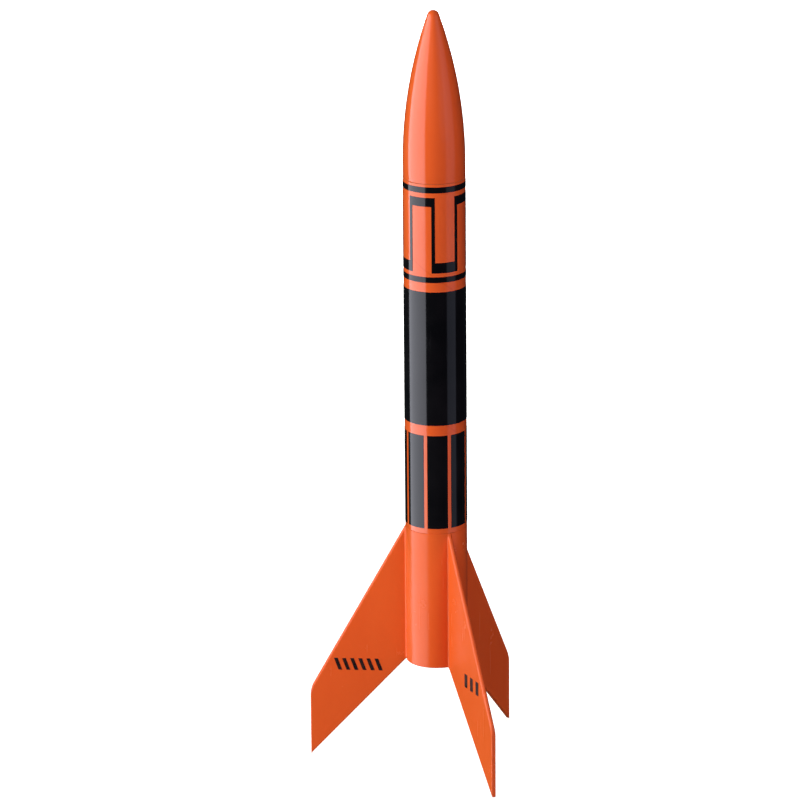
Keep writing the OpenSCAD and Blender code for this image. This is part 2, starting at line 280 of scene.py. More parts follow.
def swept(points, sides, section):
    """(verts, faces) of a closed section swept along points; sides gives each ring's side vector."""
    verts, count = [], len(section)
    for i, point in enumerate(points):
        ahead = (points[min(i + 1, len(points) - 1)] - points[max(i - 1, 0)]).normalized()
        side = (sides[i] - ahead * sides[i].dot(ahead)).normalized()
        up = ahead.cross(side)
        verts += [point + side * a + up * b for a, b in section]
    faces = grid_faces(len(points), count, wrap=True)
    last = (len(points) - 1) * count
    faces.append(list(range(count))[::-1])
    faces.append([last + k for k in range(count)])
    return verts, faces


def spans(points, per_span):
    """Steps along a line: the four points nearest each one, and how far it is past the second."""
    ends = [points[0] * 2 - points[1], *points, points[-1] * 2 - points[-2]]
    for four in zip(ends, ends[1:], ends[2:], ends[3:]):
        for k in range(per_span):
            yield *four, k / per_span


def curve_through(points, per_span=8):
    """Points of a smooth line through the given ones."""
    line = []
    for p0, p1, p2, p3, t in spans(points, per_span):
        line.append(0.5 * (
            2 * p1 + (p2 - p0) * t + (2 * p0 - 5 * p1 + 4 * p2 - p3) * t * t
            + (3 * p1 - p0 - 3 * p2 + p3) * t ** 3
        ))
    return line + [points[-1]]


def rounded(points, per_span=4):
    """Points of a line drawn along the given ones, which rounds off every corner."""
    line = []
    for p0, p1, p2, p3, t in spans(points, per_span):
        line.append((
            (1 - t) ** 3 * p0 + (4 - 6 * t ** 2 + 3 * t ** 3) * p1
            + (1 + 3 * t + 3 * t ** 2 - 3 * t ** 3) * p2 + t ** 3 * p3
        ) / 6)
    return line + [points[-1]]


def eased(t):
    """0 to 1 as t goes from 0 to 1, with a soft start and end."""
    t = min(1.0, max(0.0, t))
    return t * t * (3 - 2 * t)


def oval_section(half_w, half_t, count=12):
    """Outline of an oval cord."""
    return [(half_w * math.cos(TAU * k / count), half_t * math.sin(TAU * k / count)) for k in range(count)]


def circle_section(radius, count=10):
    """Outline of a round cord."""
    return oval_section(radius, radius, count)


def polar(r, degrees, z):
    """The point at radius r, degrees round from +X and height z."""
    a = math.radians(degrees)
    return Vector((r * math.cos(a), r * math.sin(a), z))


# ---------------------------------------------------------------- materials

class Shader:
    """A node material: each method adds a node and gives its output."""

    def __init__(self, name, color, roughness, **sockets):
        self.material = bpy.data.materials.new(name)
        self.material.use_nodes = True
        self.tree = self.material.node_tree
        self.bsdf = self.tree.nodes["Principled BSDF"]
        self.bsdf.inputs["Base Color"].default_value = (*color, 1)
        self.bsdf.inputs["Roughness"].default_value = roughness
        for key, value in sockets.items():
            self.bsdf.inputs[key.replace("_", " ")].default_value = value
        self.place = self.add("ShaderNodeTexCoord").outputs["Object"]
        self.uv = self.add("ShaderNodeTexCoord").outputs["UV"]
        self.normal = None

    def add(self, kind, inputs=None, **settings):
        node = self.tree.nodes.new(kind)
        for key, value in settings.items():
            setattr(node, key, value)
        for key, value in (inputs or {}).items():
            self.feed(node.inputs[key], value)
        return node

    def feed(self, socket, value):
        if isinstance(value, bpy.types.NodeSocket):
            self.tree.links.new(value, socket)
        else:
            socket.default_value = value

    def mapped(self, scale, source=None):
        return self.add("ShaderNodeMapping", {"Vector": source or self.place, "Scale": scale}).outputs[0]

    def noise(self, scale, detail=4.0, rough=0.5, source=None):
        return self.add("ShaderNodeTexNoise", {
            "Vector": source or self.place, "Scale": scale, "Detail": detail, "Roughness": rough,
        }).outputs["Fac"]

    def wave(self, scale, source, direction="X", distortion=0.0, profile="SIN"):
        return self.add("ShaderNodeTexWave", {
            "Vector": source, "Scale": scale, "Distortion": distortion,
        }, bands_direction=direction, wave_profile=profile).outputs["Fac"]

    def math(self, operation, a, b=0.0, c=0.0):
        return self.add("ShaderNodeMath", {0: a, 1: b, 2: c}, operation=operation).outputs[0]

    def ramp(self, value, low, high, out_low=0.0, out_high=1.0):
        return self.add("ShaderNodeMapRange", {
            "Value": value, "From Min": low, "From Max": high, "To Min": out_low, "To Max": out_high,
        }).outputs[0]

    def mix(self, amount, a, b):
        node = self.add("ShaderNodeMix", data_type="RGBA")
        self.feed(node.inputs["Factor"], amount)
        self.feed(node.inputs["A"], (*a, 1) if isinstance(a, tuple) else a)
        self.feed(node.inputs["B"], (*b, 1) if isinstance(b, tuple) else b)
        return node.outputs["Result"]

    def bump(self, height, depth, strength=1.0):
        node = self.add("ShaderNodeBump", {"Height": height, "Distance": depth, "Strength": strength})
        if self.normal is not None:
            self.feed(node.inputs["Normal"], self.normal)
        self.normal = node.outputs[0]

    def color(self, value):
        self.feed(self.bsdf.inputs["Base Color"], value)

    def roughness(self, value):
        self.feed(self.bsdf.inputs["Roughness"], value)

    def done(self):
        if self.normal is not None:
            self.feed(self.bsdf.inputs["Normal"], self.normal)
        return self.material

    def angle(self):
        """Angle round the rocket's axis, as a share of a turn."""
        parts = self.add("ShaderNodeSeparateXYZ", {0: self.place}).outputs
        turn = self.math("ARCTAN2", parts[1], parts[0])
        return self.math("DIVIDE", turn, TAU), parts[2]


ORANGE = (0.93, 0.146, 0.030)
ORANGE_DEEP = (0.89, 0.128, 0.026)


def moulded_plastic(name, smooth, dull, coat):
    """Moulded plastic: faint flow marks, a shallow ripple and rubbed, paler edges."""
    s = Shader(name, ORANGE, 0.2, Specular_IOR_Level=0.45, Coat_Weight=coat, Coat_Roughness=0.06)
    flow = s.noise(26, 5, 0.6, s.mapped((1, 1, 0.35)))
    tone = s.mix(s.ramp(flow, 0.35, 0.7), ORANGE, ORANGE_DEEP)
    point = s.add("ShaderNodeNewGeometry").outputs["Pointiness"]
    rub = s.math("MULTIPLY", s.ramp(point, 0.53, 0.62), s.ramp(s.noise(420, 3), 0.4, 0.62))
    s.color(s.mix(s.math("MULTIPLY", rub, 0.35), tone, (0.93, 0.25, 0.10)))
    smudge = s.noise(70, 6, 0.65)
    scratch = s.ramp(s.noise(900, 2, 0.5, s.mapped((1, 1, 0.04))), 0.68, 0.73)
    s.roughness(s.math("MULTIPLY_ADD", scratch, 0.05, s.ramp(smudge, 0.3, 0.75, smooth, dull)))
    s.bump(s.noise(230, 2), 0.00002, 0.35)
    s.bump(s.noise(1600, 3), 0.000006, 0.5)
    return s.done()


def painted_paper():
    """Glossy coat on a spiral-wound paper tube: the winding's edge shows as a faint helix."""
    s = Shader("painted_paper", ORANGE, 0.17, Coat_Weight=0.5, Coat_Roughness=0.06)
    turn, height = s.angle()
    helix = s.math("FRACT", s.math("ADD", turn, s.math("DIVIDE", height, 0.058)))
    edge = s.math("ABSOLUTE", s.math("SUBTRACT", helix, 0.5))
    groove = s.ramp(edge, 0.0, 0.012)
    fibre = s.noise(700, 4, 0.6, s.mapped((1, 1, 2.2)))
    tone = s.mix(s.ramp(s.noise(45, 4), 0.35, 0.7), ORANGE, ORANGE_DEEP)
    s.color(s.mix(s.ramp(groove, 0, 1, 0.16, 0.0), tone, (0.55, 0.04, 0.01)))
    s.roughness(s.ramp(s.noise(90, 6, 0.6), 0.3, 0.75, 0.13, 0.24))
    s.bump(groove, 0.00003, 0.5)
    s.bump(fibre, 0.000012, 0.35)
    return s.done()


def black_film():
    """Glossy black film: slight mottle, hairline scratches and a soft ripple from the paper."""
    s = Shader("black_film", (0.0045, 0.0047, 0.006), 0.10, Specular_IOR_Level=0.55)
    s.color(s.mix(s.ramp(s.noise(60, 5), 0.35, 0.7), (0.003, 0.0033, 0.0045), (0.007, 0.007, 0.009)))
    scratch = s.ramp(s.noise(1100, 2, 0.5, s.mapped((1, 1, 0.03))), 0.67, 0.71)
    s.roughness(s.math("MULTIPLY_ADD", scratch, 0.12, s.ramp(s.noise(80, 6, 0.65), 0.3, 0.8, 0.07, 0.16)))
    s.bump(s.noise(260, 2), 0.000012, 0.3)
    s.bump(s.noise(1500, 3), 0.000004, 0.4)
    return s.done()


def mark_ink():
    """Satin black print on the fins, a little broken at its edges."""
    s = Shader("mark_ink", (0.01, 0.009, 0.01), 0.3)
    s.color(s.mix(s.ramp(s.noise(900, 5, 0.7), 0.42, 0.75), (0.008, 0.007, 0.008), (0.05, 0.018, 0.012)))
    s.roughness(s.ramp(s.noise(300, 4), 0.3, 0.7, 0.24, 0.4))
    s.bump(s.noise(1400, 3), 0.000006, 0.5)
    return s.done()


def kraft_paper():
    """Bare spiral-wound kraft paper: long fibres, flecks and the winding's edge."""
    s = Shader("kraft_paper", (0.42, 0.27, 0.14), 0.8)
    turn, height = s.angle()
    helix = s.math("FRACT", s.math("ADD", turn, s.math("DIVIDE", height, 0.05)))
    groove = s.ramp(s.math("ABSOLUTE", s.math("SUBTRACT", helix, 0.5)), 0.0, 0.015)
    fibre = s.noise(500, 7, 0.7, s.mapped((1, 1, 3)))
    fleck = s.ramp(s.noise(1300, 3), 0.66, 0.72)
    tone = s.mix(s.ramp(fibre, 0.3, 0.7), (0.34, 0.20, 0.10), (0.50, 0.34, 0.19))
    tone = s.mix(s.math("MULTIPLY", fleck, 0.6), tone, (0.2, 0.11, 0.05))
    s.color(s.mix(s.ramp(groove, 0, 1, 0.6, 0.0), tone, (0.16, 0.09, 0.05)))
    s.roughness(s.ramp(fibre, 0.2, 0.8, 0.9, 0.7))
    s.bump(groove, 0.00008, 0.6)
    s.bump(fibre, 0.00005, 0.5)
    return s.done()


def grey_card():
    """Pressed grey-white card with short fibres and flecks."""
    s = Shader("grey_card", (0.58, 0.54, 0.46), 0.85)
    fibre = s.noise(800, 6, 0.7)
    tone = s.mix(s.ramp(fibre, 0.3, 0.7), (0.50, 0.46, 0.38), (0.68, 0.64, 0.56))
    s.color(s.mix(s.ramp(s.noise(2200, 2), 0.68, 0.74, 0, 0.7), tone, (0.25, 0.21, 0.17)))
    s.roughness(s.ramp(fibre, 0.2, 0.8, 0.92, 0.75))
    s.bump(fibre, 0.00004, 0.6)
    return s.done()


def spring_steel():
    """Rolled strip: fine lengthwise brushing and a straw-coloured heat tint in places."""
    s = Shader("spring_steel", (0.46, 0.46, 0.47), 0.28, Metallic=1.0)
    brush = s.noise(1600, 4, 0.6, s.mapped((1, 1, 0.02)))
    tint = s.ramp(s.noise(120, 3), 0.5, 0.72, 0, 0.35)
    tone = s.mix(s.ramp(brush, 0.3, 0.7), (0.38, 0.38, 0.40), (0.56, 0.56, 0.57))
    s.color(s.mix(tint, tone, (0.42, 0.34, 0.22)))
    s.roughness(s.ramp(brush, 0.25, 0.75, 0.2, 0.38))
    s.bump(brush, 0.000008, 0.6)
    return s.done()


def woven_elastic():
    """Flat braided elastic: ribs along it and picks of yarn across it, from the ribbon's UVs."""
    s = Shader("woven_elastic", (0.80, 0.78, 0.71), 0.75, Sheen_Weight=0.3, Sheen_Roughness=0.5)
    ribs = s.wave(1.0, s.mapped((5.0, 0, 0), s.uv), "X")
    picks = s.wave(1.0, s.mapped((0, 1200, 0), s.uv), "Y")
    yarn = s.math("MULTIPLY", ribs, picks)
    soil = s.noise(160, 5, 0.6)
    tone = s.mix(s.ramp(yarn, 0.0, 0.8), (0.54, 0.52, 0.45), (0.85, 0.84, 0.78))
    s.color(s.mix(s.ramp(soil, 0.45, 0.8, 0, 0.35), tone, (0.52, 0.47, 0.38)))
    s.roughness(s.ramp(yarn, 0, 1, 0.9, 0.65))
    s.bump(yarn, 0.00010, 0.7)
    return s.done()


def twisted_thread():
    """Waxed cotton thread with its twist, from the line's UVs."""
    s = Shader("twisted_thread", (0.85, 0.83, 0.77), 0.6, Sheen_Weight=0.2, Sheen_Roughness=0.4)
    twist = s.wave(1.0, s.mapped((1.0, 500, 0), s.uv), "DIAGONAL")
    s.color(s.mix(s.ramp(twist, 0.1, 0.7), (0.58, 0.57, 0.50), (0.89, 0.88, 0.82)))
    s.roughness(s.ramp(twist, 0, 1, 0.75, 0.5))
    s.bump(twist, 0.00008, 0.7)
    return s.done()


def canopy_film():
    """Thin soft plastic sheet: alternate panels, creases and a dull sheen."""
    s = Shader("canopy_film", (0.86, 0.12, 0.02), 0.34, Specular_IOR_Level=0.45)
    panel = s.ramp(s.wave(1.0, s.mapped((14.0, 0, 0), s.uv), "X"), 0.48, 0.52)
    tone = s.mix(panel, (0.86, 0.11, 0.018), (0.80, 0.79, 0.74))
    crease = s.noise(220, 6, 0.65, s.mapped((1, 1, 0.25)))
    s.color(s.mix(s.ramp(crease, 0.55, 0.8, 0, 0.25), tone, (0.90, 0.80, 0.68)))
    s.roughness(s.ramp(crease, 0.3, 0.7, 0.22, 0.45))
    s.bump(crease, 0.0006, 0.8)
    return s.done()


def paper_tape():
    """Matt white paper tape."""
    s = Shader("paper_tape", (0.82, 0.81, 0.76), 0.7)
    fibre = s.noise(1500, 5, 0.65)
    s.color(s.mix(s.ramp(fibre, 0.3, 0.7), (0.74, 0.72, 0.66), (0.88, 0.87, 0.83)))
    s.roughness(s.ramp(fibre, 0.2, 0.8, 0.8, 0.6))
    s.bump(fibre, 0.00003, 0.5)
    return s.done()


def pale_floor():
    """A pale board that glows more and more white with distance, so that it has no horizon."""
    s = Shader("pale_floor", (0.93, 0.93, 0.93), 0.9, Emission_Color=(1, 1, 1, 1))
    s.color(s.mix(s.ramp(s.noise(3, 3), 0.3, 0.7), (0.92, 0.92, 0.92), (0.95, 0.95, 0.95)))
    away = s.add("ShaderNodeVectorMath", {0: s.place}, operation="LENGTH").outputs["Value"]
    s.feed(s.bsdf.inputs["Emission Strength"], s.ramp(away, 0.3, 2.0, 0.62, 0.98))
    return s.done()


NOSE_PLASTIC = moulded_plastic("nose_plastic", 0.12, 0.2, 0.5)
FIN_PLASTIC = moulded_plastic("fin_plastic", 0.2, 0.3, 0.0)
PAINT = painted_paper()
FILM = black_film()
INK = mark_ink()
KRAFT = kraft_paper()
CARD = grey_card()
STEEL = spring_steel()
ELASTIC = woven_elastic()
THREAD = twisted_thread()
CANOPY = canopy_film()
TAPE = paper_tape()


def finish_piece(obj, body, material, slot, *nodes):
    """Gives a new piece its material and body, and hides the CAD nodes that it stands for; slot is not
    used.
    """
    if not obj.data.materials:
        obj.data.materials.append(material)
    if body:
        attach(obj, body)
    if nodes:
        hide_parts(*nodes)
    return obj


def dress_cad_node(name, material):
    """A CAD node that stays: its faces joined, smoothed and given a finished material."""
    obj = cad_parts[name]
    obj.data.materials.clear()
    obj.data.materials.append(material)
    for polygon in obj.data.polygons:
        polygon.use_smooth = True
        polygon.material_index = 0
    weld = obj.modifiers.new("weld", "WELD")
    weld.merge_threshold = 0.001 * MM
    split = obj.modifiers.new("edges", "EDGE_SPLIT")
    split.split_angle = math.radians(28)


# ---------------------------------------------------------------- nose cone

def nose_radius(s):
    """Radius of the ogive at s above its foot."""
    return math.sqrt(NOSE_ARC ** 2 - s ** 2) - (NOSE_ARC - TUBE_R)


def make_nose_cone():
    """The ogive, its rounded tip, the shoulder and the hollow inside, as one turned shell."""
    shoulder_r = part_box("nose_base_plug")[1].x + 0.2 * MM
    tangent_z = NOSE_SEAM - SEAM_GAP + NOSE_STRAIGHT
    reach = NOSE_TIP - tangent_z
    off = NOSE_ARC - TUBE_R
    tip_r = (NOSE_ARC ** 2 - off ** 2 - reach ** 2) / (2 * (NOSE_ARC - reach))
    tip_z = math.sqrt((NOSE_ARC - tip_r) ** 2 - off ** 2)
    tip_tan = tip_z * NOSE_ARC / (NOSE_ARC - tip_r)
    tip_angle = math.asin(tip_z / (NOSE_ARC - tip_r))
    arc_steps, tip_steps, cavity_steps = 72, 7, 12
    outer = filleted(
        [
            (shoulder_r - NOSE_WALL, NOSE_BASE),
            (shoulder_r, NOSE_BASE),
            (shoulder_r, NOSE_SEAM),
            (TUBE_R, NOSE_SEAM),
            (TUBE_R, tangent_z),
        ],
        [0, 0.4 * MM, 0, 0.22 * MM, 0],
    )
    for k in range(1, arc_steps + 1):
        s = tip_tan * k / arc_steps
        outer.append((nose_radius(s), tangent_z + s))
    for k in range(1, tip_steps + 1):
        a = tip_angle + (math.pi / 2 - tip_angle) * k / tip_steps
        r = 0 if k == tip_steps else tip_r * math.cos(a)
        outer.append((r, tangent_z + tip_z + tip_r * math.sin(a)))
    cavity = 0.86 * reach
    inner = [(0, tangent_z + cavity)]
    for k in range(cavity_steps, -1, -1):
        s = cavity * k / cavity_steps
        inner.append((nose_radius(s) - NOSE_WALL, tangent_z + s))
    inner += [(TUBE_R - NOSE_WALL, NOSE_SEAM + NOSE_WALL), (shoulder_r - NOSE_WALL, NOSE_SEAM)]
    obj = mesh_object("nose_shell", *lathe(outer + inner, 160))
    return finish_piece(obj, "nose", NOSE_PLASTIC, "moulded_shell", "nose_cone")


def eye_part(disc_low):
    """(verts, faces) of the moulded eye: a ring of wire that widens where it meets the disc."""
    steps, wire = 48, circle_section(EYE_WIRE, 16)
    count = len(wire)
    verts, faces = [], []
    for k in range(steps):
        a = TAU * k / steps
        out = Vector((math.cos(a), 0, math.sin(a)))
        centre = Vector((EYE_R * math.cos(a), 0, EYE_Z + EYE_R * math.sin(a)))
        flare = 1 + 0.9 * max(0.0, (centre.z - (disc_low - 1.2 * MM)) / (2.4 * MM)) ** 2
        verts += [centre + out * x + Vector((0, 1, 0)) * y * min(flare, 2.0) for x, y in wire]
        this, following = k * count, (k + 1) % steps * count
        for m in range(count):
            n = (m + 1) % count
            faces.append([this + m, this + n, following + n, following + m])
    return verts, faces


def make_base_plug():
    """The shoulder's plug: a dished disc with a rim, a boss and a moulded eye."""
    top, rim_r = NOSE_BASE, PLUG_HIGH.x
    low = top - 1.5 * MM
    disc = lathe(filleted(
        [
            (0, top), (0, low + 0.35 * MM), (3.4 * MM, low + 0.35 * MM), (4.6 * MM, low + 0.6 * MM),
            (rim_r - 2.2 * MM, low + 0.6 * MM), (rim_r - 1.6 * MM, low), (rim_r, low), (rim_r, top),
        ],
        [0, 0, 0.5 * MM, 0.4 * MM, 0.3 * MM, 0.25 * MM, 0.45 * MM, 0.2 * MM],
    )[::-1])
    skirt_in, skirt_out, skirt_top = rim_r - 2.0 * MM, rim_r - 1.2 * MM, PLUG_HIGH.z
    skirt = lathe([(skirt_in, top), (skirt_out, top), (skirt_out, skirt_top), (skirt_in, skirt_top)])
    obj = joined("nose_plug", [disc, skirt, eye_part(low)])
    return finish_piece(obj, "nose", NOSE_PLASTIC, "moulded_shell", "nose_base_plug")


# ---------------------------------------------------------------- airframe

def make_body_tube():
    """The paper tube: painted outside, bare kraft at its rims and inside."""
    inner = TUBE_R - WALL
    low, high = TUBE_AFT, TUBE_FWD
    profile = filleted(
        [(inner, low), (TUBE_R, low), (TUBE_R, high), (inner, high)],
        [0.08 * MM, 0.14 * MM, 0.14 * MM, 0.08 * MM], 4,
    )
    obj = mesh_object("paper_tube", *lathe(profile, 160))
    obj.data.materials.append(PAINT)
    obj.data.materials.append(KRAFT)
    edge = TUBE_R - 0.11 * MM
    for face in obj.data.polygons:
        if face.center.xy.length < edge:
            face.material_index = 1
    return finish_piece(weighted(obj), "airframe", PAINT, "painted_tube", "body_tube")


def fin_edge_height(r):
    """Height of a fin's leading edge at radius r, its outer corner eased by a curve."""
    slope = (FIN_TIP_TOP - SLEEVE_LEN) / (FIN_TIP_R - TUBE_R)
    start_r = FIN_TIP_R - CORNER_IN
    start_z = SLEEVE_LEN + slope * (start_r - TUBE_R)
    if r <= start_r:
        return min(SLEEVE_LEN, SLEEVE_LEN + slope * (r - TUBE_R))
    t = 1 - math.sqrt(max(0.0, (FIN_TIP_R - r) / CORNER_IN))
    end_z = FIN_TIP_TOP - CORNER_DOWN
    return (1 - t) ** 2 * start_z + 2 * t * (1 - t) * FIN_TIP_TOP + t * t * end_z


def rounded_half(distance, radius, flat):
    """Half thickness at a distance from an edge that is rounded to radius."""
    if distance >= radius:
        return flat
    return flat - radius + math.sqrt(max(0.0, radius ** 2 - (radius - distance) ** 2))


def fin_root_swell(r):
    """How many times thicker a fin is at radius r, where its root runs out into the sleeve."""
    if r >= TUBE_R + FIN_FILLET:
        return 1.0
    short = FIN_FILLET - max(0.0, r - TUBE_R)
    return (FIN_HALF + FIN_FILLET - math.sqrt(FIN_FILLET ** 2 - short ** 2)) / FIN_HALF


def fin_part(angle):
    """(verts, faces) of one fin: full-round leading edge, eased tip and trailing edges, root fillets."""
    lead_run = math.sin(math.atan((FIN_TIP_R - TUBE_R) / (SLEEVE_LEN - FIN_TIP_TOP)))
    trail_run = math.cos(math.atan(-FIN_FOOT / (FIN_TIP_R - TUBE_R)))
    root_rows = [TUBE_R + FIN_FILLET * x for x in (0, 0.05, 0.14, 0.28, 0.46, 0.7, 1.0)]
    tip_rows = [FIN_TIP_R - x * MM for x in (1.3, 1.15, 0.95, 0.75, 0.55, 0.4, 0.26, 0.15, 0.07, 0.02, 0)]
    span = np.linspace(root_rows[-1], tip_rows[0], 22)[1:-1]
    rows = [TUBE_R - 0.6 * MM, *root_rows, *span, *tip_rows]
    lead = [x * FIN_HALF for x in (0, 0.03, 0.12, 0.26, 0.45, 0.7, 1.0)]
    trail = [x * FIN_EDGE_R for x in (1.0, 0.6, 0.3, 0.1, 0)]
    between = np.linspace(0, 1, 22)[1:-1]
    top, bottom = [], []
    for r in rows:
        z_lead = fin_edge_height(r)
        z_trail = FIN_FOOT * max(0.0, r - TUBE_R) / (FIN_TIP_R - TUBE_R)
        first, last = z_lead - lead[-1] / lead_run, z_trail + trail[0] / trail_run
        heights = [z_lead - e / lead_run for e in lead]
        heights += [first + (last - first) * t for t in between]
        heights += [z_trail + e / trail_run for e in trail]
        for z in heights:
            half = fin_root_swell(r) * min(
                rounded_half((z_lead - z) * lead_run, FIN_HALF, FIN_HALF),
                rounded_half((z - z_trail) * trail_run, FIN_EDGE_R, FIN_HALF),
                rounded_half(FIN_TIP_R - r, FIN_EDGE_R, FIN_HALF),
            )
            x = math.sqrt(r * r - half * half) if r < TUBE_R + FIN_FILLET else r
            top.append(Vector((x, half, z)))
            bottom.append(Vector((x, -half, z)))
    turn = Matrix.Rotation(math.radians(angle), 3, "Z")
    return [turn @ v for v in top + bottom], slab_faces(len(rows), len(heights))


def make_fin_unit():
    """Sleeve, shoulder and three fins of the one-piece moulding, relieved inside for the hook."""
    inner = TUBE_R - SLEEVE_WALL
    relief_top, relief_half, relief_y = 13 * MM, 2.5 * MM, inner + 0.7 * MM
    shoulder = TUBE_R - WALL - 0.05 * MM
    profile = filleted(
        [
            (inner, 0), (TUBE_R, 0), (TUBE_R, SLEEVE_LEN), (shoulder, SLEEVE_LEN), (shoulder, SHOULDER_TOP),
            (inner, SHOULDER_TOP), (inner, relief_top + 0.05 * MM), (inner, relief_top),
        ],
        [0.25 * MM, 0.45 * MM, 0.2 * MM, 0, 0.3 * MM, 0.1 * MM, 0, 0],
    )
    verts, faces = lathe(profile, 192)
    relieved = []
    for x, y, z in verts:
        inside = math.hypot(x, y) < inner + 0.3 * MM and z <= relief_top + 0.01 * MM
        if inside and y > 0 and abs(x) < relief_half:
            y = relief_y
        relieved.append((x, y, z))
    obj = joined("fin_moulding", [(relieved, faces)] + [fin_part(a) for a in FIN_ANGLES])
    merge(obj, 0.002 * MM)
    obj.data.shade_smooth()
    obj.data.set_sharp_from_angle(angle=math.radians(38))
    return finish_piece(weighted(obj), "airframe", FIN_PLASTIC, "moulded_shell", "fin_unit")


def glue_bead(side):
    """(verts, faces) of a bead of glue along one side of the lug's foot."""
    rings, count, clear = 60, 8, 0.8 * MM
    verts = []
    for i in range(rings):
        t = i / (rings - 1)
        z = LUG_LOW.z + clear + (LUG_HIGH.z - LUG_LOW.z - 2 * clear) * t
        swell = 0.85 + 0.3 * noise.noise(Vector((side * 3, t * 9, 0)))
        size = swell * math.sin(math.pi * (t * 0.96 + 0.02)) ** 0.25
        middle = Vector((side * 1.25 * MM, FILM_R + 0.42 * MM, z))
        outline = oval_section(0.75 * MM * size, 0.55 * MM * size, count)
        verts += [middle + Vector((x, y, 0)) for x, y in outline]
    ends = [list(range(count))[::-1], [(rings - 1) * count + k for k in range(count)]]
    return verts, grid_faces(rings, count, wrap=True) + ends


def make_launch_lug():
    """The lug, with its beads of glue."""
    centre_y = LUG_HIGH.y - LUG_R
    profile = filleted(
        [(LUG_BORE, LUG_LOW.z), (LUG_R, LUG_LOW.z), (LUG_R, LUG_HIGH.z), (LUG_BORE, LUG_HIGH.z)],
        [0.06 * MM, 0.1 * MM, 0.1 * MM, 0.06 * MM], 3,
    )
    tube, faces = lathe(profile, 48)
    parts = [([(x, y + centre_y, z) for x, y, z in tube], faces)]
    obj = joined("lug", parts + [glue_bead(side) for side in (-1, 1)])
    return finish_piece(obj, "airframe", PAINT, "painted_tube", "launch_lug")


def make_hook():
    """The spring strip, bent at both ends."""
    middle_y = HOOK_Y - STRIP_T / 2
    low, high = HOOK_LOW + STRIP_T / 2, HOOK_TOP - STRIP_T / 2
    bend, bend_steps, straight_steps = 0.55 * MM, 6, 70
    halfway = (HOOK_IN + middle_y) / 2
    arc = [math.pi / 2 * k / bend_steps for k in range(bend_steps + 1)]
    route = [(HOOK_IN, high), (halfway, high)]
    route += [(middle_y - bend + bend * math.cos(a), high - bend + bend * math.sin(a)) for a in arc[::-1]]
    for k in range(1, straight_steps):
        route.append((middle_y, high - bend - (high - low - 2 * bend) * k / straight_steps))
    route += [(middle_y - bend + bend * math.cos(a), low + bend - bend * math.sin(a)) for a in arc]
    route += [(halfway, low), (HOOK_IN, low)]
    route = [Vector((0, y, z)) for y, z in route]
    half = STRIP_T / 2
    corners = [(-HOOK_X, -half), (HOOK_X, -half), (HOOK_X, half), (-HOOK_X, half)]
    section = filleted(corners, [0.12 * MM] * 4, 3)
    obj = mesh_object("hook_strip", *swept(route, [Vector((1, 0, 0))] * len(route), section))
    merge(obj, 0.0005 * MM)
    obj.data.materials.append(STEEL)
    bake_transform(obj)
    return finish_piece(obj, None, STEEL, "spring_steel", "motor_hook", "hook_tongue")


# ---------------------------------------------------------------- recovery gear

def make_cord_mount():
    """The folded paper pad: three plies, each a little smaller than the one behind it."""
    ply, middle, half, rows, columns = 0.32 * MM, -90.0, 25.0, 9, 15
    parts = []
    for k in range(3):
        r_out = -MOUNT_LOW.y - k * ply
        span, inset = half - 1.6 * k, 0.5 * MM * k
        low, high = MOUNT_LOW.z + inset, MOUNT_HIGH.z - inset
        verts = []
        for r in (r_out, r_out - ply * 0.9):
            for i in range(rows):
                z = low + (high - low) * i / (rows - 1)
                for j in range(columns):
                    a = middle - span + 2 * span * j / (columns - 1)
                    ripple = 0.03 * MM * noise.noise(Vector((k, i * 0.7, j * 0.5)))
                    verts.append(polar(r - abs(ripple), a, z))
        parts.append((verts, slab_faces(rows, columns)))
    obj = joined("cord_mount_pad", parts)
    return finish_piece(obj, "airframe", CARD, "grey_card", "shock_cord_mount")


def outer_turn_radius(gone):
    """Radius of the shock cord, gone degrees round, as it leaves the wall and closes in on its coil."""
    leaves, takes = 14, 170
    return WALL_R + (OUTER_R - WALL_R) * eased((gone - leaves) / takes)


def cord_path():
    """Centre line of the shock cord: up the wall, round the outer coil, back down the inner one, and
    up through the middle to its knot."""
    low, high = COIL_LOW.z + CORD_W / 2 + 0.15 * MM, COIL_HIGH.z - CORD_W / 2 - 0.15 * MM
    outer_steps, inner_steps = 102, 74
    rise, across = 8.6 * MM, 10.5 * MM  # of the bend from the wall into the outer coil
    points = [polar(WALL_R, -90, z) for z in np.linspace(MOUNT_LOW.z + 8 * MM, low - rise, 12)]
    for k in range(1, 7):
        a = math.pi / 2 * k / 6
        gone = math.degrees(across * (1 - math.cos(a)) / (11 * MM))
        points.append(polar(outer_turn_radius(gone), gone - 90, low - rise + rise * math.sin(a)))
    climb = (high - low) / OUTER_TURN
    for k in range(1, outer_steps + 1):
        d = OUTER_TURN * k / outer_steps
        points.append(polar(outer_turn_radius(gone + d), gone + d - 90, low + climb * d))
    start, fall, bend = gone + OUTER_TURN - 90, 3.42 * MM / 360, 60
    for k in range(1, inner_steps + 1):
        d = INNER_TURN * k / inner_steps
        within = min(d, bend)
        z = high + climb * within - (climb + fall) * within ** 2 / (2 * bend) - fall * (d - within)
        z -= 1.8 * MM * eased((d - INNER_TURN + 200) / 200)
        points.append(polar(OUTER_R + (INNER_R - OUTER_R) * eased(d / 130), start + d, z))
    for x, y, z in CORD_CLIMB:
        points.append(Vector((x * MM, y * MM, CORD_KNOT.z + z * MM)))
    return rounded([*points, CORD_KNOT])


